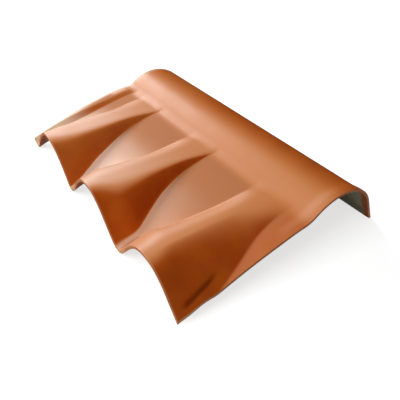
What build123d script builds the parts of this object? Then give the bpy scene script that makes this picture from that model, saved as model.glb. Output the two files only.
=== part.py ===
from build123d import *
import os
from math import atan, cos, radians, sin, tan

# Fibre cement ridge cap for a wave-tiled roof: one moulded sheet with three waves at the eave.
# X runs along the ridge, Y from the eave to the roll, and the cap lies with its crests level.

# Sheet
SHEET = 6.0               # thickness of the pressed sheet
LENGTH = 720.0            # along the ridge

# Waves at the eave
PITCH = 243.0             # from crest to crest
CRESTS = 3                # crests on the cap
WAVE_DEPTH = 84.8         # crest to trough
EAVE_FLAT = 39.0          # level floor between two crests
CREST_POWER = 2.24        # 2 makes a parabola of a crest, more a flatter top and steeper flanks

# Waves on their way to the roll
WING_RUN = 276.0          # from the eave to the foot of the roll
TIP_HALF_WIDTH = 48.0     # half width of a crest at the foot of the roll
FADE = 1.55               # how the depth runs out: 1 is evenly, more is faster at the eave

# Lap at the -X end, its edge turned up into a lip
LAP_FLOOR = 30.0          # from the end to the first crest, at the eave
LIP_HEIGHT = 13.0         # at the eave
LIP_FADE = 0.4            # how the lip's height runs out towards the roll
LIP_SHARE = 0.6           # share of the lap's floor that the lip takes
LIP_TOP = 0.4             # share of the lip that is level, along the edge

# Roll
FOOT_RADIUS = 67.6        # hollow where the wing turns up, on the upper face
FOOT_TURN = 35.3          # degrees
ROLL_RADIUS = 110.3       # upper face of the roll
ROLL_OVER = 62.0          # degrees past the top, to the straight skirt

# How finely the wing is drawn
WING_STEPS = 9            # sections from the eave to the foot of the roll
FOOT_STEPS = 3            # sections over the hollow
CREST_STEPS = (0, 0.35, 0.7, 1)   # points from the top of a crest to its foot

EAVE_HALF_WIDTH = (PITCH - EAVE_FLAT) / 2
FIRST_CREST = -LENGTH / 2 + LAP_FLOOR + EAVE_HALF_WIDTH
TRIM = 2 * SHEET                         # the sheet is moulded so much too long at each end
CREST_Z = SHEET + WAVE_DEPTH
FOOT = radians(FOOT_TURN)
OVER = radians(ROLL_OVER)
RUN = WING_RUN + FOOT_RADIUS * FOOT      # the waves have died out where the hollow ends

# The skirt runs on from the roll down to the floor line.
ROLL_TOP = WING_RUN + (FOOT_RADIUS + ROLL_RADIUS) * sin(FOOT)
HEIGHT = CREST_Z + (FOOT_RADIUS + ROLL_RADIUS) * (1 - cos(FOOT))
SKIRT_TOP = HEIGHT - ROLL_RADIUS * (1 - cos(OVER))
DEPTH = ROLL_TOP + ROLL_RADIUS * sin(OVER) + SKIRT_TOP / tan(OVER)


def ease(share):
    """Smooth step from 0 to 1."""
    t = min(1, max(0, share))
    return t * t * (3 - 2 * t)


def wave_section(run):
    """Closed section of the wing, square to the tops of its crests, at a way along them from the eave."""
    left = max(0, 1 - run / RUN)
    turn = max(0, run - WING_RUN) / FOOT_RADIUS
    depth = WAVE_DEPTH * left ** FADE
    half = TIP_HALF_WIDTH + (EAVE_HALF_WIDTH - TIP_HALF_WIDTH) * ease(1 - run / WING_RUN)
    lip = LIP_HEIGHT * left ** LIP_FADE
    lip_width = LIP_SHARE * (LAP_FLOOR + EAVE_HALF_WIDTH - half)

    def spot(x, drop):
        """Point of the section, so far below the tops of the crests."""
        radius = FOOT_RADIUS + drop
        return Vector(x, min(run, WING_RUN) + radius * sin(turn), CREST_Z + FOOT_RADIUS - radius * cos(turn))

    def half_crest(middle, side, below):
        """Face of half a crest: a power curve that meets the floor of the trough at a crease."""
        points, ways = [], []
        for share in CREST_STEPS:
            fall = depth * CREST_POWER * share ** (CREST_POWER - 1)
            lean = atan(fall / half)
            aside, down = (sin(lean), cos(lean)) if share < 1 else (tan(lean / 2), 1)
            out = half * share - below * aside
            points.append(spot(middle + side * out, depth * share ** CREST_POWER + below * down))
            ways.append(Vector(side * half, fall * sin(turn), -fall * cos(turn)))
        return Edge.make_spline(points, [ways[0], ways[-1]], parameters=CREST_STEPS, scale=False)

    def face_line(below):
        """Upper face of the section, or with the thickness of the sheet the lower one."""
        lean = atan(lip / (lip_width * (1 - LIP_TOP)))
        edge = -LENGTH / 2 - below * tan(lean / 2)
        brow = spot(edge + lip_width * LIP_TOP, depth - lip + below)
        edges = [Line(spot(-LENGTH / 2 - TRIM, depth - lip + below), brow)]
        edges.append(Line(brow, spot(edge + lip_width, depth + below)))
        for i in range(CRESTS):
            middle = FIRST_CREST + i * PITCH
            rising = half_crest(middle, -1, below)
            edges += [Line(edges[-1] @ 1, rising @ 1), rising, half_crest(middle, 1, below)]
        end = max(LENGTH / 2, (edges[-1] @ 1).X) + TRIM
        return edges + [Line(edges[-1] @ 1, spot(end, depth + below))]

    upper = face_line(0)
    lower = face_line(SHEET)
    ends = [Line(upper[0] @ 0, lower[0] @ 0), Line(upper[-1] @ 1, lower[-1] @ 1)]
    return Face(Wire(upper + lower + ends))


# Wing: the crests narrow and run out while the wing turns up into the roll.
runs = [WING_RUN * i / WING_STEPS for i in range(WING_STEPS)]
runs += [WING_RUN + (RUN - WING_RUN) * i / FOOT_STEPS for i in range(FOOT_STEPS + 1)]
wing = loft([wave_section(run) for run in runs])

# Roll: the sheet is plain from the end of the hollow on and turns over the ridge.
ridge = Axis((0, ROLL_TOP, HEIGHT - ROLL_RADIUS), (-1, 0, 0))
hollow_end = Plane(ridge.position, x_dir=(1, 0, 0), z_dir=(0, -cos(FOOT), -sin(FOOT)))
strip = hollow_end * Pos(0, ROLL_RADIUS - SHEET / 2) * Rectangle(LENGTH + 2 * TRIM, SHEET)
roll = revolve(strip, ridge, FOOT_TURN + ROLL_OVER)

# Skirt: drawn straight on from the roll, past the floor line.
roll_end = roll.faces().filter_by(GeomType.PLANE).sort_by(Axis.Z)[0]
skirt = extrude(roll_end, SKIRT_TOP / sin(OVER) + TRIM, dir=(0, cos(OVER), -sin(OVER)))

# The moulding is trimmed square to its length, with the rim level on the floor line.
blank = Box(LENGTH, DEPTH, HEIGHT + SHEET, align=(Align.CENTER, Align.MIN, Align.MIN))
cap = Pos(0, -DEPTH / 2, 0) * ((wing + roll + skirt) & blank)
ridge_cap = cap.solid()
ridge_cap.label = "ridge_cap"

os.makedirs("parts", exist_ok=True)
export_step(ridge_cap, "parts/ridge_cap.step")
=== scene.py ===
"""Terracotta fibre cement ridge cap: one moulded sheet with waves that die out at the foot of a rounded roll."""
import logging
import math
from dataclasses import dataclass, field
from enum import Enum, IntEnum, auto
from typing import Any

import bmesh
import bpy
from mathutils import Matrix, Vector


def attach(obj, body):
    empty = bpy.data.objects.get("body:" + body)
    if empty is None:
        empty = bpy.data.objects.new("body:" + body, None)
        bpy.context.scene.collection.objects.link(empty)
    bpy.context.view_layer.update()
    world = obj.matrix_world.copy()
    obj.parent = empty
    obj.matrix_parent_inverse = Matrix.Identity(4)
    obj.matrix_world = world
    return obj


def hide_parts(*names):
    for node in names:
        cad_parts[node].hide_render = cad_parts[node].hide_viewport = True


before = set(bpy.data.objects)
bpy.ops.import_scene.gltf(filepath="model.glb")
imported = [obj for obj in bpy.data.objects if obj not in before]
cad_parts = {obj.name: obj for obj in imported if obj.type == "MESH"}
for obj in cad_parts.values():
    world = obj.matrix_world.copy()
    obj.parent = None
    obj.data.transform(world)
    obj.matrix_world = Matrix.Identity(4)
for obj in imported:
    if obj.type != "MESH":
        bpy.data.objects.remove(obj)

log = logging.getLogger("ridge_cap")
MM = 0.001
Colour = tuple[float, float, float, float]
Node = bpy.types.Node
Socket = bpy.types.NodeSocket
Tree = bpy.types.NodeTree


def hex_linear(code: str) -> Colour:
    """Turn an sRGB hex colour into linear RGBA.

    Args:
        code: colour as "#RRGGBB".

    Returns:
        Linear red, green and blue, fully opaque.
    """
    parts = [int(code[i:i + 2], 16) / 255 for i in (1, 3, 5)]
    red, green, blue = [c / 12.92 if c <= 0.04045 else ((c + 0.055) / 1.055) ** 2.4 for c in parts]
    return red, green, blue, 1.0


def smooth_step(value: float) -> float:
    """Ease a value from 0 at 0 to 1 at 1."""
    t = min(1.0, max(0.0, value))
    return t * t * (3 - 2 * t)


def round_corner(way: float, radius: float) -> float:
    """Bend from a level line into an even rise.

    Args:
        way: distance past the corner.
        radius: how far the bend is rounded on either side of the corner.

    Returns:
        The height there.
    """
    if abs(way) >= radius:
        return max(0.0, way)
    return (way + radius) ** 2 / (4 * radius)


def add_node(tree: Tree, kind: str, settings: dict[str, Any] | None = None,
             sockets: dict[str | int, Any] | None = None) -> Node:
    """Add a node, set it and link its inputs.

    Args:
        tree: node tree that takes the node.
        kind: Blender's type name of the node.
        settings: properties of the node itself.
        sockets: input name or index to a plain value, an output socket or a node, for its first output.

    Returns:
        The new node.
    """
    node = tree.nodes.new(kind)
    for name, value in (settings or {}).items():
        setattr(node, name, value)
    for key, value in (sockets or {}).items():
        source = value.outputs[0] if isinstance(value, Node) else value
        if isinstance(source, Socket):
            tree.links.new(source, node.inputs[key])
        else:
            node.inputs[key].default_value = source
    return node


class Gauge(Enum):
    """Readings that the border of a patch can follow. Places are in metres, in the cap's frame."""

    X = auto()        # along the ridge, towards the near end
    Y = auto()        # from the eave towards the skirt
    Z = auto()        # above the floor
    END = auto()      # from the middle of the ridge, towards either end
    RUN = auto()      # from the eave
    FOLD = auto()     # from the fold at the near corner
    TILT = auto()     # how far a face turns towards either end, 0 to 1
    LIT = auto()  # how far a face turns towards the light, up to 1
    CLOUDS = auto()   # broad pattern, mostly within PATTERN_SPAN
    GRAIN = auto()    # fine pattern, mostly within PATTERN_SPAN
    FIBRES = auto()   # streaky pattern, mostly within PATTERN_SPAN


PATTERN_SPAN = (0.3, 0.7)
Gauges = dict[Gauge, Socket | Node]


class Easing(Enum):
    """How a border comes in between its two readings, by Blender's names."""

    SMOOTH = "SMOOTHSTEP"
    EVEN = "LINEAR"


class Joining(Enum):
    """What counts where two patches of a coat meet, by Blender's names."""

    STRONGEST = "MAXIMUM"
    SUM = "ADD"


class MixSocket(IntEnum):
    """Colour sockets of a Mix node, whose names also stand for other kinds of data."""

    SHARE = 0
    UNDER = 6
    OVER = 7
    RESULT = 2


@dataclass(frozen=True)
class Border:
    """Soft border of a patch: it rises from its least share to 1 while a gauge goes from none to full."""

    gauge: Gauge
    none: float
    full: float
    least: float = 0.0
    easing: Easing = Easing.SMOOTH


@dataclass(frozen=True)
class Patch:
    """Part of the sheet within soft borders, less the patches that it spares."""

    borders: tuple[Border, ...]
    share: float = 1.0
    spares: tuple["Patch", ...] = ()

    def mask(self, tree: Tree, gauges: Gauges) -> Node:
        """Draw the patch.

        Args:
            tree: node tree of the material.
            gauges: readings that the borders follow.

        Returns:
            The mask, 0 outside and the patch's share inside.
        """
        mask: Node | float = self.share
        for border in self.borders:
            inside = add_node(tree, "ShaderNodeMapRange", {"interpolation_type": border.easing.value}, {
                "Value": gauges[border.gauge], "From Min": border.none, "From Max": border.full,
                "To Min": border.least})
            mask = add_node(tree, "ShaderNodeMath", {"operation": "MULTIPLY"}, {0: inside, 1: mask})
        for patch in self.spares:
            outside = add_node(tree, "ShaderNodeMath", {"operation": "SUBTRACT"}, {
                0: 1.0, 1: patch.mask(tree, gauges)})
            mask = add_node(tree, "ShaderNodeMath", {"operation": "MULTIPLY"}, {0: outside, 1: mask})
        return mask


@dataclass(frozen=True)
class Coat:
    """Colour that lies over another one on its patches."""

    colour: str
    patches: tuple[Patch, ...]
    joining: Joining = Joining.STRONGEST

    def lay(self, tree: Tree, gauges: Gauges, under: Socket | Colour) -> Socket:
        """Draw the coat.

        Args:
            tree: node tree of the material.
            gauges: readings that the patches follow.
            under: colour below the coat.

        Returns:
            The colour with the coat on it.
        """
        masks = [patch.mask(tree, gauges) for patch in self.patches]
        share = masks[0]
        for mask in masks[1:]:
            share = add_node(tree, "ShaderNodeMath", {"operation": self.joining.value, "use_clamp": True}, {
                0: share, 1: mask})
        mix = add_node(tree, "ShaderNodeMix", {"data_type": "RGBA"}, {
            MixSocket.SHARE: share, MixSocket.UNDER: under, MixSocket.OVER: hex_linear(self.colour)})
        return mix.outputs[MixSocket.RESULT]


@dataclass(frozen=True)
class Pattern:
    """Cloudy pattern, by the width of a cloud in millimetres and the number of finer layers on it."""

    size: float
    layers: float

    def sockets(self, place: Socket | Node) -> dict[str, Any]:
        """Inputs of the noise that draws the pattern."""
        return {"Vector": place, "Scale": 1 / (self.size * MM), "Detail": self.layers}


@dataclass(frozen=True)
class Finish:
    """A finish of the sheet: coats over a ground colour, and the grain as relief, its depth in millimetres."""

    name: str
    ground: str
    coats: tuple[Coat, ...]
    clouds: Pattern
    grain: Pattern
    relief: float
    rough_with: Gauge
    roughness: tuple[float, float]
    gloss: float

    def gauges(self, tree: Tree, place: Socket) -> Gauges:
        """Draw what the patches follow.

        Args:
            tree: node tree of the material.
            place: object coordinates in metres.

        Returns:
            The readings that every finish has.
        """
        axes = add_node(tree, "ShaderNodeSeparateXYZ", sockets={0: place}).outputs
        return {
            Gauge.X: axes["X"], Gauge.Y: axes["Y"], Gauge.Z: axes["Z"],
            Gauge.CLOUDS: add_node(tree, "ShaderNodeTexNoise", sockets=self.clouds.sockets(place)),
            Gauge.GRAIN: add_node(tree, "ShaderNodeTexNoise", sockets=self.grain.sockets(place))}

    def sheen(self, tree: Tree, gauges: Gauges) -> tuple[Node, Node | float]:
        """Draw how the finish shines.

        Args:
            tree: node tree of the material.
            gauges: readings of the finish.

        Returns:
            Its roughness and its specular level.
        """
        return add_node(tree, "ShaderNodeMapRange", sockets={
            "Value": gauges[self.rough_with], "From Min": PATTERN_SPAN[0], "From Max": PATTERN_SPAN[1],
            "To Min": self.roughness[0], "To Max": self.roughness[1]}), self.gloss

    def make(self) -> bpy.types.Material:
        """Make the material.

        Returns:
            The new material.
        """
        material = bpy.data.materials.new(self.name)
        material.use_nodes = True
        tree = material.node_tree
        tree.nodes.clear()
        gauges = self.gauges(tree, add_node(tree, "ShaderNodeTexCoord").outputs["Object"])
        colour: Socket | Colour = hex_linear(self.ground)
        for coat in self.coats:
            colour = coat.lay(tree, gauges, colour)
        roughness, gloss = self.sheen(tree, gauges)
        bump = add_node(tree, "ShaderNodeBump", sockets={
            "Strength": 1.0, "Distance": self.relief * MM, "Height": gauges[Gauge.GRAIN]})
        shader = add_node(tree, "ShaderNodeBsdfPrincipled", sockets={
            "Base Color": colour, "Roughness": roughness, "Normal": bump, "Specular IOR Level": gloss})
        add_node(tree, "ShaderNodeOutputMaterial", sockets={"Surface": shader})
        return material


@dataclass(frozen=True)
class TerracottaPaint(Finish):
    """Satin roof paint on the upper face: deep orange brown, with painted light that turns it tan on the far half
    and on faces towards the light, less so on the back of the roll and the near lap.

    Dust dulls the floors of the troughs. Painted highlights lighten faces towards the light, the mouths of the
    troughs, the rim of the eave and the far edge and tip, and painted shade darkens a fold near the near corner.
    """

    name: str = "satin_terracotta_paint"
    ground: str = "#B84E14"
    warm: str = "#C15817"
    # Tan of the painted light on faces towards the light and on the far half.
    lit_tone: str = "#D27F3E"
    dusty: str = "#C07C54"
    # Pale tone of the painted highlights.
    pale: str = "#F8D0B6"
    # Tone of the painted highlight along the far edge and tip.
    far_highlight: str = "#F0D6B8"
    # Tone of the painted highlight along the rim of the eave.
    rim: str = "#D99A6C"
    # Dark tone of the painted shade in the fold.
    fold_shade: str = "#6A2206"
    clouds: Pattern = Pattern(60.0, 3.0)
    # The felt's grain is about 1 mm; it is drawn coarser so that a picture can show it.
    grain: Pattern = Pattern(3.0, 3.0)
    relief: float = 0.12
    rough_with: Gauge = Gauge.CLOUDS
    roughness: tuple[float, float] = (0.70, 0.78)
    polish: float = 0.3
    gloss: float = 0.5
    # Direction towards the light: faces turned to it are painted tan and shine more.
    lit_side: tuple[float, float, float] = (-0.75, -0.30, 0.60)

    # The fold with the painted shade starts so far along the eave and bends away with the square of the run, in
    # metres.
    eave: float = 0.2554
    fold_start: float = 0.3505
    fold_bend: float = 1.7

    cloudy: Patch = Patch((Border(Gauge.CLOUDS, 0.35, 0.65),))
    # Painted light: the far half, nearer the light, is painted lighter.
    far_half_lit: Patch = Patch((Border(Gauge.X, -0.05, -0.20),), share=0.38)
    near_lap: Patch = Patch((Border(Gauge.X, 0.255, 0.335), Border(Gauge.Y, 0.060, 0.015)), share=0.5)
    # Painted light: faces towards the light are painted tan, less so on the back of the roll and the near lap.
    lit_faces: Patch = Patch((
        Border(Gauge.LIT, 0.20, 0.56), Border(Gauge.Y, 0.150, 0.080, least=0.3)), spares=(near_lap,))
    # Painted highlight on faces turned most towards the light.
    facing_highlight: Patch = Patch((Border(Gauge.LIT, 0.63, 0.82),), share=0.2)
    # Painted highlight on faces towards the light near the eave.
    eave_highlight: Patch = Patch((
        Border(Gauge.Y, 0.0, -0.190), Border(Gauge.X, 0.220, 0.020), Border(Gauge.LIT, 0.45, 0.68)), share=0.32)
    trough_floor: Patch = Patch((
        Border(Gauge.Z, 0.0900, 0.0870), Border(Gauge.TILT, 0.22, 0.06), Border(Gauge.Y, -0.185, -0.100),
        Border(Gauge.Y, 0.050, 0.010), Border(Gauge.X, 0.340, 0.270)), share=0.7)
    # Painted highlight in the mouths of the troughs near the eave.
    trough_mouth_highlight: Patch = Patch((
        Border(Gauge.Y, -0.010, -0.170), Border(Gauge.TILT, 0.22, 0.06), Border(Gauge.Z, 0.080, 0.060),
        Border(Gauge.X, 0.30, -0.10)))
    # Painted highlight along the far edge and on the far tip.
    far_edge: Patch = Patch((
        Border(Gauge.X, -0.342, -0.357), Border(Gauge.Y, -0.12, -0.20, least=0.35, easing=Easing.EVEN)))
    far_tip: Patch = Patch((Border(Gauge.X, -0.275, -0.325), Border(Gauge.Y, -0.080, -0.190)), share=0.9)
    # Painted shade: a dark line in the fold near the near corner.
    fold: Patch = Patch((
        Border(Gauge.FOLD, 0.0060, 0.0005), Border(Gauge.RUN, 0.105, 0.075), Border(Gauge.RUN, 0.012, 0.030)),
        share=0.65)
    # Painted highlight along the rim of the eave.
    eave_rim_highlight: Patch = Patch((Border(Gauge.Y, -0.2520, -0.2553),), share=0.6)
    satin: Patch = Patch((*lit_faces.borders, Border(Gauge.Y, 0.150, 0.080)), spares=(near_lap, trough_floor))

    # Coats: cloudy tone, painted light, painted highlights, dust and painted shade in the fold.
    coats: tuple[Coat, ...] = (
        Coat(warm, (cloudy,)), Coat(lit_tone, (far_half_lit,)), Coat(lit_tone, (lit_faces,)), Coat(pale, (facing_highlight,)),
        Coat(pale, (eave_highlight,)), Coat(dusty, (trough_floor,)), Coat(pale, (trough_mouth_highlight,)),
        Coat(far_highlight, (far_edge, far_tip)), Coat(fold_shade, (fold,)), Coat(rim, (eave_rim_highlight,)))

    def gauges(self, tree: Tree, place: Socket) -> Gauges:
        """Draw what the patches follow, with the facing towards the light and the fold.

        Args:
            tree: node tree of the material.
            place: object coordinates in metres.

        Returns:
            The readings of the paint.
        """
        gauges = super().gauges(tree, place)
        normal = add_node(tree, "ShaderNodeTexCoord").outputs["Normal"]
        facing = add_node(tree, "ShaderNodeSeparateXYZ", sockets={0: normal})
        run = add_node(tree, "ShaderNodeMath", {"operation": "ADD"}, {0: gauges[Gauge.Y], 1: self.eave})
        square = add_node(tree, "ShaderNodeMath", {"operation": "MULTIPLY"}, {0: run, 1: run})
        bend = add_node(tree, "ShaderNodeMath", {"operation": "MULTIPLY_ADD"}, {
            0: square, 1: self.fold_bend, 2: gauges[Gauge.X]})
        aside = add_node(tree, "ShaderNodeMath", {"operation": "SUBTRACT"}, {0: bend, 1: self.fold_start})
        return gauges | {
            Gauge.RUN: run,
            Gauge.FOLD: add_node(tree, "ShaderNodeMath", {"operation": "ABSOLUTE"}, {0: aside}),
            Gauge.TILT: add_node(tree, "ShaderNodeMath", {"operation": "ABSOLUTE"}, {0: facing.outputs["X"]}),
            Gauge.LIT: add_node(tree, "ShaderNodeVectorMath", {"operation": "DOT_PRODUCT"}, {
                0: normal, 1: self.lit_side}).outputs["Value"]}

    def sheen(self, tree: Tree, gauges: Gauges) -> tuple[Node, Node | float]:
        """Draw the paint satin on faces towards the light and matt on faces turned from it and under dust.

        Args:
            tree: node tree of the material.
            gauges: readings of the paint.

        Returns:
            Its roughness and its specular level.
        """
        matt, most = super().sheen(tree, gauges)
        satin = self.satin.mask(tree, gauges)
        roughness = add_node(tree, "ShaderNodeMath", {"operation": "MULTIPLY_ADD"}, {
            0: satin, 1: -self.polish, 2: matt})
        return roughness, add_node(tree, "ShaderNodeMath", {"operation": "MULTIPLY"}, {0: satin, 1: most})


@dataclass(frozen=True)
class BareFibreCement(Finish):
    """Unpainted underside: dull olive grey cement paste with paler fibres, and a mist of paint along its edges."""

    name: str = "bare_fibre_cement"
    ground: str = "#8A846A"
    light: str = "#B0A98D"
    fibre: str = "#C6C0AA"
    overspray: str = "#A8501F"
    clouds: Pattern = Pattern(45.0, 4.0)
    grain: Pattern = Pattern(3.0, 4.0)
    relief: float = 0.3
    rough_with: Gauge = Gauge.GRAIN
    roughness: tuple[float, float] = (0.8, 0.95)
    gloss: float = 0.3
    # Fibres are about 4 mm long and hair thin; they are drawn thicker so that a picture can show them.
    fibres: Pattern = Pattern(1.6, 1.0)
    fibre_lie: tuple[float, float, float] = (0.3, 1.0, 1.0)

    damp: Patch = Patch((Border(Gauge.CLOUDS, 0.35, 0.65),))
    strands: Patch = Patch((Border(Gauge.FIBRES, 0.62, 0.75),), share=0.6)
    misted: Border = Border(Gauge.CLOUDS, 0.15, 0.5)
    ends: Patch = Patch((Border(Gauge.END, 0.340, 0.352), misted))
    eave: Patch = Patch((Border(Gauge.Y, -0.225, -0.243), misted))

    coats: tuple[Coat, ...] = (Coat(light, (damp,)), Coat(fibre, (strands,)), Coat(overspray, (ends, eave)))

    def gauges(self, tree: Tree, place: Socket) -> Gauges:
        """Draw what the patches follow, with the fibres and the ends of the sheet.

        Args:
            tree: node tree of the material.
            place: object coordinates in metres.

        Returns:
            The readings of the cement.
        """
        gauges = super().gauges(tree, place)
        lie = add_node(tree, "ShaderNodeMapping", sockets={"Vector": place, "Scale": self.fibre_lie})
        return gauges | {
            Gauge.END: add_node(tree, "ShaderNodeMath", {"operation": "ABSOLUTE"}, {0: gauges[Gauge.X]}),
            Gauge.FIBRES: add_node(tree, "ShaderNodeTexNoise", sockets=self.fibres.sockets(lie))}


@dataclass(frozen=True)
class PaintedCutEdge(Finish):
    """Trimmed edge of the sheet: rough cement stained by the paint, under a pale mist, thickest in the troughs."""

    name: str = "painted_cut_edge"
    ground: str = "#A9561C"
    mist: str = "#DB9A66"
    clouds: Pattern = Pattern(14.0, 3.0)
    grain: Pattern = Pattern(2.0, 3.0)
    relief: float = 0.25
    rough_with: Gauge = Gauge.CLOUDS
    roughness: tuple[float, float] = (0.6, 0.85)
    gloss: float = 0.4

    low: Patch = Patch((Border(Gauge.Z, 0.045, 0.015),))
    cloudy: Patch = Patch((Border(Gauge.CLOUDS, 0.4, 0.65),), share=0.45)

    coats: tuple[Coat, ...] = (Coat(mist, (low, cloudy), Joining.SUM),)


class SheetFace(IntEnum):
    """Faces of the moulded sheet, in the order of its material slots."""

    UPPER = 0
    UNDER = 1
    CUT = 2


@dataclass(frozen=True)
class Ease:
    """Amount that eases from one value to another between two runs, in millimetres from the eave."""

    start: float
    end: float
    first: float
    last: float

    def at(self, run: float) -> float:
        """Amount at a run."""
        return self.first + (self.last - self.first) * smooth_step((run - self.start) / (self.end - self.start))


def total(eases: tuple[Ease, ...], run: float) -> float:
    """Sum of several amounts at a run."""
    return sum(ease.at(run) for ease in eases)


def product(eases: tuple[Ease, ...], run: float) -> float:
    """Product of several amounts at a run."""
    return math.prod(ease.at(run) for ease in eases)


@dataclass(frozen=True)
class Waves:
    """The waves across the cap at one run, in millimetres."""

    middles: tuple[float, ...]
    far_end: float
    near_end: float
    half: float
    flare: float
    middle_flare: float
    near_fullness: float
    depth: float
    power: float
    far_power: float
    near_power: float
    softness: float
    far_softness: float
    lean: float
    lean_power: float
    lip: float
    lip_top: float
    lip_foot: float
    crease: float
    folds: tuple[float, ...]
    fold_away: float
    bell: float
    last_strip: float = 5.0                           # least floor between the last crease and the near end
    lean_softness: float = 1.2                        # near foot of the first crest where it leans most
    slump: float = 0.85                               # power that its far flank loses there
    lip_rounding: tuple[float, float] = (0.45, 0.25)  # of the lip's top and foot, as shares of its slope
    lip_turn: float = 0.35                            # share of the lip's rise that its edge loses
    fold_sides: tuple[float, float] = (10.0, 36.0)    # width of a fold towards the crest and away from it
    bell_start: float = 32.0                          # from the near end
    bell_width: float = 24.0

    def marks(self) -> list[float]:
        """List the lines that the columns of the grid follow.

        Returns:
            Ends, lip lines, crest lines and creases, from the far end to the near one.
        """
        lines = [self.far_end, self.far_end + self.lip_top, self.far_end + self.lip_foot]
        for middle in self.middles:
            lines += [middle - self.half, middle, middle + self.half]
        lines[-1] = min(lines[-1] + self.near_fullness, self.near_end - self.last_strip)
        return lines + [self.near_end]

    def crest_drop(self, away: float, half: float, power: float, softness: float) -> float:
        """Drop below the tops at a distance from the nearest crest, with the crease at its foot rounded.

        Args:
            away: distance from the middle of the crest.
            half: distance of the crease there.
            power: how flat the top of the crest is.
            softness: 1 for flanks that meet the floor at a crease, more for flanks that run out into it.

        Returns:
            The drop.
        """
        start = half - self.crease
        drop = self.depth * (1 - (1 - (min(away, start) / half) ** power) ** softness)
        t = min(1.0, max(0.0, (away - start) / (2 * self.crease)))
        return drop + (self.depth - drop) * t * (2 - t)

    def fold_drop(self, away: float, fold: float) -> float:
        """Shallow fold along a flank near the eave, steeper on the crest's side.

        Args:
            away: distance from the middle of the crest towards the near end.
            fold: depth of the fold.

        Returns:
            The extra drop.
        """
        past = away - self.fold_away
        crest_side, foot_side = self.fold_sides
        return fold * smooth_step(1 + past / crest_side if past < 0 else 1 - past / foot_side)

    def lip_rise(self, x: float) -> float:
        """Rise of the turned-up far edge.

        Args:
            x: place along the ridge.

        Returns:
            The rise over the floor of the lap.
        """
        slope = self.lip_foot - self.lip_top
        way = x - self.far_end
        top, foot = (share * slope for share in self.lip_rounding)
        fall = round_corner(way - self.lip_top, top) - round_corner(way - self.lip_foot, foot)
        turn = max(0.0, 1 - way / self.lip_top)
        return self.lip * (1 - fall / slope - self.lip_turn * turn * turn)

    def drop(self, x: float) -> float:
        """Drop of the upper face below the tops of the crests.

        Args:
            x: place along the ridge.

        Returns:
            The drop.
        """
        crest = min(range(len(self.middles)), key=lambda i: abs(x - self.middles[i]))
        away = x - self.middles[crest]
        half, power, softness = self.half + self.flare, self.power, self.softness
        if away < 0 and crest == 0:
            half, power, softness = self.half, self.far_power - self.slump * self.lean, 1.0
        elif away < 0:
            power, softness = self.far_power, self.far_softness
        elif crest == 0:
            power, softness = power + self.lean_power, softness + (self.lean_softness - softness) * self.lean
        elif crest == len(self.middles) - 1:
            half, power = half + self.near_fullness, self.near_power
        else:
            half += self.middle_flare
        rise = self.lip_rise(x) + self.bell * smooth_step((x - self.near_end + self.bell_start) / self.bell_width)
        return self.crest_drop(abs(away), half, power, softness) + self.fold_drop(away, self.folds[crest]) - rise


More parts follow.
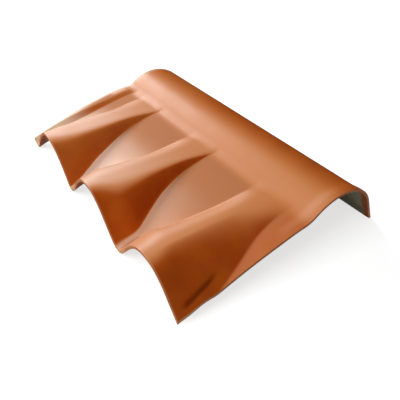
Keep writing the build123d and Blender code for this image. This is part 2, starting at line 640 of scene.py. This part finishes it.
@dataclass
class RidgeCap:
    """The whole cap, in millimetres: waved wing, hollow foot, roll and skirt in one sheet."""

    sheet: float = 6.0
    length: float = 720.0

    # Waves: they narrow and lose their depth towards the roll.
    pitch: float = 243.0
    crests: int = 3
    wave_depth: float = 84.8
    fade: float = 1.5
    eave_flat: float = 39.0
    narrow_run: float = 232.0
    tip_half_width: float = 50.0
    crease: float = 3.5

    # Flanks: a power of 2 makes a parabola of a crest, more a flatter top and steeper flanks.
    crest_power: float = 2.24
    power: tuple[Ease, ...] = (Ease(0, 60, 0.16, 0.0), Ease(0, 150, 0.0, 3.0), Ease(110, 230, 0.0, 2.6))
    far_power: tuple[Ease, ...] = (Ease(0, 60, 0.16, 0.4),)
    near_power: tuple[Ease, ...] = (Ease(0, 60, 0.16, -0.85), Ease(180, 270, 0.0, 1.5))
    softness: tuple[Ease, ...] = (Ease(0, 60, 1.9, 1.0),)
    far_softness: tuple[Ease, ...] = (Ease(0, 60, 1.9, 1.0), Ease(150, 270, 0.0, 0.5))

    # Feet: they spread at the eave, the middle crest's near foot most and the last one's further up too.
    flare: Ease = Ease(0, 95, 17.0, 0.0)
    middle_flare: tuple[Ease, ...] = (Ease(0, 60, 0.0, 12.0), Ease(55, 145, 1.0, 0.0))
    near_fullness: tuple[Ease, ...] = (Ease(0, 70, 5.95, 17.0), Ease(130, 290, 1.0, 0.0))

    # The first crest leans towards the near end.
    lean: Ease = Ease(60, 190, 1.0, 0.0)
    lean_power: tuple[Ease, ...] = (Ease(0, 80, 0.4, 1.2), Ease(110, 240, 1.0, 0.0))

    # Folds in the near flanks: they bend towards the crest with the square of the run.
    fold_depths: tuple[float, ...] = (0.8, 2.0, 3.5)
    fold_reach: tuple[Ease, ...] = (Ease(-5, 30, 0.0, 1.0), Ease(65, 125, 1.0, 0.0))
    fold_away: Ease = Ease(0, 25, 83.0, 95.0)
    fold_bend: float = 0.0017

    # Lap at the far end, with its edge turned up into a lip.
    lap_floor: float = 30.0
    lip_height: float = 13.0
    lip_fade: float = 0.25
    lip_end: float = 0.125
    lip_share: float = 0.55
    lip_top: float = 0.56

    # Hollow foot, roll and skirt. The roll is belled a little at the near end.
    wing_run: float = 282.4
    foot_radius: float = 48.0
    roll_radius: float = 110.3
    roll_rise: float = 32.7
    roll_over: float = math.radians(62.0)
    bell: Ease = Ease(215, 275, 0.0, 1.8)
    bell_end: float = 80.0

    # Grid: columns between the marks, rows on the wing, hollow, roll and skirt.
    strips: tuple[int, ...] = (6, 10, 12, 24, 24, 24, 24, 24, 24, 24, 24, 14)
    rows: tuple[int, ...] = (92, 16, 40, 6)
    crowding: float = 0.11

    # Cut edges: the thickness turns into the plane of the cut over a reach.
    trim_reach: float = 18.0
    least_lean: float = 0.3
    edge_round: float = 2.0
    edge_segments: int = 3
    edge_angle: float = math.radians(50)

    paint: TerracottaPaint = field(default_factory=TerracottaPaint)
    cement: BareFibreCement = field(default_factory=BareFibreCement)
    edge: PaintedCutEdge = field(default_factory=PaintedCutEdge)

    def __post_init__(self) -> None:
        """Work out the sizes that follow from the named ones."""
        arcs = self.foot_radius + self.roll_radius
        self.foot_turn = math.acos(1 - self.roll_rise / arcs)
        self.crest_z = self.sheet + self.wave_depth
        self.eave_half = (self.pitch - self.eave_flat) / 2
        self.half_width = Ease(0, self.narrow_run, self.eave_half, self.tip_half_width)
        first = -self.length / 2 + self.lap_floor + self.eave_half
        self.middles = tuple(first + i * self.pitch for i in range(self.crests))
        self.hollow_end = self.wing_run + self.foot_radius * self.foot_turn
        self.roll_end = self.hollow_end + self.roll_radius * (self.foot_turn + self.roll_over)
        self.roll_top = self.wing_run + arcs * math.sin(self.foot_turn)
        self.height = self.crest_z + self.roll_rise
        skirt_top = self.height - self.roll_radius * (1 - math.cos(self.roll_over))
        skirt_start = self.roll_top + self.roll_radius * math.sin(self.roll_over)
        self.girth = self.roll_end + skirt_top / math.sin(self.roll_over)
        self.depth = skirt_start + skirt_top / math.tan(self.roll_over)
        self.bell_fade = Ease(self.girth - self.bell_end, self.girth, 1.0, 0.0)

    def waves(self, run: float) -> Waves:
        """Size the waves at a run.

        Args:
            run: way along the tops of the crests from the eave.

        Returns:
            The waves across the cap there.
        """
        left = max(0.0, 1 - run / self.hollow_end)
        half = self.half_width.at(run)
        lip_foot = self.lip_share * (self.lap_floor + self.eave_half - half)
        return Waves(
            middles=self.middles, far_end=-self.length / 2, near_end=self.length / 2, half=half,
            flare=self.flare.at(run), middle_flare=product(self.middle_flare, run),
            near_fullness=product(self.near_fullness, run), depth=self.wave_depth * left ** self.fade,
            power=self.crest_power + total(self.power, run),
            far_power=self.crest_power + total(self.far_power, run),
            near_power=self.crest_power + total(self.near_power, run),
            softness=total(self.softness, run), far_softness=total(self.far_softness, run),
            lean=self.lean.at(run), lean_power=product(self.lean_power, run),
            lip=self.lip_height * left ** self.lip_fade * smooth_step(left / self.lip_end),
            lip_top=lip_foot * self.lip_top, lip_foot=lip_foot, crease=self.crease,
            folds=tuple(depth * product(self.fold_reach, run) for depth in self.fold_depths),
            fold_away=self.fold_away.at(run) - self.fold_bend * run * run,
            bell=self.bell.at(run) * self.bell_fade.at(run))

    def runs(self) -> list[float]:
        """List the rows of the grid.

        Returns:
            Their runs, from the eave over the hollow and the roll to the rim of the skirt.
        """
        stops = (0.0, self.wing_run, self.hollow_end, self.roll_end, self.girth)
        rows = [0.0]
        for start, end, count in zip(stops, stops[1:], self.rows):
            rows += [start + (end - start) * (i + 1) / count for i in range(count)]
        return rows

    def columns(self, waves: Waves) -> list[float]:
        """Places of all columns along the ridge, close together at the creases.

        Args:
            waves: the waves of the row.

        Returns:
            The places, from the far end to the near one.
        """
        marks = waves.marks()
        places = [marks[0]]
        for start, end, count in zip(marks, marks[1:], self.strips):
            steps = [(i + 1) / count for i in range(count)]
            places += [start + (end - start) * (t - self.crowding * math.sin(2 * math.pi * t)) for t in steps]
        return places

    def upper_point(self, x: float, run: float, drop: float) -> Vector:
        """Place a point of the upper face.

        Args:
            x: place along the ridge from the cap's middle.
            run: way along the tops of the crests from the eave.
            drop: distance below the tops.

        Returns:
            The point in millimetres, in the cap's frame.
        """
        if run <= self.hollow_end:
            turn = max(0.0, run - self.wing_run) / self.foot_radius
            reach = self.foot_radius + drop
            y = min(run, self.wing_run) + reach * math.sin(turn)
            z = self.crest_z + self.foot_radius - reach * math.cos(turn)
        else:
            lean = (min(run, self.roll_end) - self.hollow_end) / self.roll_radius - self.foot_turn
            down = max(0.0, run - self.roll_end)
            reach = self.roll_radius - drop
            y = self.roll_top + reach * math.sin(lean) + down * math.cos(self.roll_over)
            z = self.height - self.roll_radius + reach * math.cos(lean) - down * math.sin(self.roll_over)
        return Vector((x, y - self.depth / 2, z))

    def lower_point(self, point: Vector, normal: Vector) -> Vector:
        """Go through the sheet, staying in the cut planes along its edges and above the floor.

        Args:
            point: point of the upper face, in millimetres.
            normal: outward normal there.

        Returns:
            The point of the lower face.
        """
        reach = self.trim_reach
        ends = smooth_step((self.length / 2 - abs(point.x)) / reach)
        eave = smooth_step((point.y + self.depth / 2) / reach)
        rim = 1.0 if point.y < self.depth / 2 - 2 * reach else smooth_step(point.z / reach)
        way = Vector((normal.x * ends, normal.y * eave, normal.z * rim)).normalized()
        lower = point - way * (self.sheet / max(self.least_lean, way.dot(normal)))
        lower.z = max(0.0, lower.z)
        return lower

    def mould(self) -> bmesh.types.BMesh:
        """Shape the upper face from a grid of size 1, and give the sheet its thickness.

        Returns:
            The closed sheet, in metres.
        """
        runs = self.runs()
        rows = [self.waves(run) for run in runs]
        places = [self.columns(waves) for waves in rows]
        across, along = sum(self.strips), sum(self.rows)
        bm = bmesh.new()
        bmesh.ops.create_grid(bm, x_segments=across, y_segments=along, size=0.5)
        for vert in bm.verts:
            row = round((vert.co.y + 0.5) * along)
            x = places[row][round((vert.co.x + 0.5) * across)]
            vert.co = self.upper_point(x, runs[row], rows[row].drop(x))
        bm.normal_update()
        lower = {tuple(vert.co): self.lower_point(vert.co, vert.normal) for vert in bm.verts}
        upper = set(bm.faces)
        made = bmesh.ops.extrude_face_region(bm, geom=list(upper), use_keep_orig=True)["geom"]
        under = {item for item in made if isinstance(item, bmesh.types.BMFace)}
        for vert in (item for item in made if isinstance(item, bmesh.types.BMVert)):
            vert.co = lower[tuple(vert.co)]
        for face in bm.faces:
            face.smooth = True
            face.material_index = (
                SheetFace.UPPER if face in upper else SheetFace.UNDER if face in under else SheetFace.CUT)
        bmesh.ops.recalc_face_normals(bm, faces=bm.faces[:])
        bmesh.ops.scale(bm, vec=(MM, MM, MM), verts=bm.verts[:])
        return bm

    def build(self) -> bpy.types.Object:
        """Make the sheet an object with rounded cut edges.

        Returns:
            The finished object, in metres.
        """
        bm = self.mould()
        mesh = bpy.data.meshes.new("ridge_cap_sheet")
        bm.to_mesh(mesh)
        bm.free()
        cap = bpy.data.objects.new("ridge_cap_sheet", mesh)
        bpy.context.scene.collection.objects.link(cap)
        rounding = cap.modifiers.new("rounded_edges", "BEVEL")
        rounding.width = self.edge_round * MM
        rounding.segments = self.edge_segments
        rounding.limit_method = "ANGLE"
        rounding.angle_limit = self.edge_angle
        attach(cap, "root")
        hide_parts("ridge_cap")
        return cap

    def dress(self, cap: bpy.types.Object) -> None:
        """Give the sheet its finishes.

        Args:
            cap: object made by build.
        """
        for finish in (self.paint, self.cement, self.edge):
            cap.data.materials.append(finish.make())


@dataclass(frozen=True)
class Lamp:
    """Soft rectangular lamp that looks at a point of the cap, in metres."""

    name: str
    place: tuple[float, float, float]
    target: tuple[float, float, float]
    size: tuple[float, float]
    watts: float

    def make(self) -> bpy.types.Object:
        """Hang the lamp.

        Returns:
            The new light object.
        """
        data = bpy.data.lights.new(self.name, "AREA")
        data.shape = "RECTANGLE"
        data.size, data.size_y = self.size
        data.energy = self.watts
        lamp = bpy.data.objects.new(self.name, data)
        lamp.location = self.place
        lamp.rotation_euler = (Vector(self.target) - Vector(self.place)).to_track_quat("-Z", "Y").to_euler()
        bpy.context.scene.collection.objects.link(lamp)
        return lamp


@dataclass
class Studio:
    """Pale floor, soft light and the camera, in metres and radians."""

    azimuth: float = 0.9460
    elevation: float = 0.6800
    roll: float = 0.0200
    distance: float = 0.84823
    target: tuple[float, float, float] = (0.18895, -0.09063, 0.09080)
    focal_pixels: float = 428.88
    image_pixels: float = 400.0
    sensor: float = 36.0
    clip: tuple[float, float] = (0.01, 50.0)
    white: str = "#FFFFFF"
    world_light: float = 0.08
    backdrop_light: float = 1.0
    floor_paint: str = "#E7E7E7"
    floor_size: float = 12.0
    floor_glow: float = 0.70
    lamps: tuple[Lamp, ...] = (
        Lamp("left_window", (-3.70, -0.16, 2.24), (0.0, -0.05, 0.05), (2.8, 1.75), 130.0),
        Lamp("front_fill", (0.20, -1.35, 1.65), (0.0, -0.05, 0.05), (1.6, 1.6), 23.0),
    )

    def make_camera(self) -> bpy.types.Object:
        """Set up the camera at the photograph's viewing angle.

        Returns:
            The camera object.
        """
        data = bpy.data.cameras.new("camera")
        data.sensor_width = self.sensor
        data.lens = self.focal_pixels * self.sensor / self.image_pixels
        data.clip_start, data.clip_end = self.clip
        az, el = self.azimuth, self.elevation
        back = Vector((math.sin(az) * math.cos(el), -math.cos(az) * math.cos(el), math.sin(el)))
        right = Vector((math.cos(az), math.sin(az), 0.0))
        turned = Matrix.Rotation(self.roll, 3, back)
        right, up = turned @ right, turned @ back.cross(right)
        camera = bpy.data.objects.new("camera", data)
        place = Matrix((right, up, back)).transposed().to_4x4()
        place.translation = Vector(self.target) + back * self.distance
        camera.matrix_world = place
        bpy.context.scene.collection.objects.link(camera)
        bpy.context.scene.camera = camera
        return camera

    def add_seen(self, tree: Tree) -> Socket | Node:
        """Tell the rays that show the background from those that light the cap.

        Args:
            tree: node tree of the floor or the world.

        Returns:
            1 for what the camera sees, straight on, mirrored or through glass, and 0 otherwise.
        """
        path = add_node(tree, "ShaderNodeLightPath").outputs
        seen = path["Is Camera Ray"]
        for kind in ("Is Glossy Ray", "Is Transmission Ray"):
            seen = add_node(tree, "ShaderNodeMath", {"operation": "ADD", "use_clamp": True}, {
                0: seen, 1: path[kind]})
        return seen

    def make_floor(self) -> bpy.types.Object:
        """Lay the pale floor, which keeps the cap's shadow and shows white to the camera.

        Returns:
            The floor object.
        """
        bm = bmesh.new()
        bmesh.ops.create_grid(bm, x_segments=1, y_segments=1, size=self.floor_size)
        mesh = bpy.data.meshes.new("floor")
        bm.to_mesh(mesh)
        bm.free()
        floor = bpy.data.objects.new("floor", mesh)
        bpy.context.scene.collection.objects.link(floor)
        material = bpy.data.materials.new("white_floor")
        material.use_nodes = True
        tree = material.node_tree
        tree.nodes.clear()
        diffuse = add_node(tree, "ShaderNodeBsdfDiffuse", sockets={"Color": hex_linear(self.floor_paint)})
        glow = add_node(tree, "ShaderNodeEmission", sockets={
            "Color": hex_linear(self.white), "Strength": self.floor_glow})
        both = add_node(tree, "ShaderNodeAddShader", sockets={0: diffuse, 1: glow})
        pick = add_node(tree, "ShaderNodeMixShader", sockets={0: self.add_seen(tree), 1: diffuse, 2: both})
        add_node(tree, "ShaderNodeOutputMaterial", sockets={"Surface": pick})
        mesh.materials.append(material)
        return floor

    def make_world(self) -> bpy.types.World:
        """Light the room evenly, and show it white to the camera.

        Returns:
            The new world.
        """
        world = bpy.data.worlds.new("studio")
        bpy.context.scene.world = world
        world.use_nodes = True
        tree = world.node_tree
        tree.nodes.clear()
        room, backdrop = [
            add_node(tree, "ShaderNodeBackground", sockets={"Color": hex_linear(self.white), "Strength": light})
            for light in (self.world_light, self.backdrop_light)]
        pick = add_node(tree, "ShaderNodeMixShader", sockets={0: self.add_seen(tree), 1: room, 2: backdrop})
        add_node(tree, "ShaderNodeOutputWorld", sockets={"Surface": pick})
        return world

    def build(self) -> None:
        """Set up the whole studio."""
        bpy.context.scene.view_settings.view_transform = "Standard"
        self.make_camera()
        self.make_floor()
        self.make_world()
        for lamp in self.lamps:
            lamp.make()


def main() -> None:
    """Build the cap and its studio, and report them."""
    logging.basicConfig(level=logging.INFO, format="%(name)s: %(message)s")
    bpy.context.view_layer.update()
    Studio().build()
    ridge_cap = RidgeCap()
    sheet = ridge_cap.build()
    ridge_cap.dress(sheet)
    log.info("%s: %d faces", sheet.name, len(sheet.data.polygons))


if __name__ == "__main__":
    main()
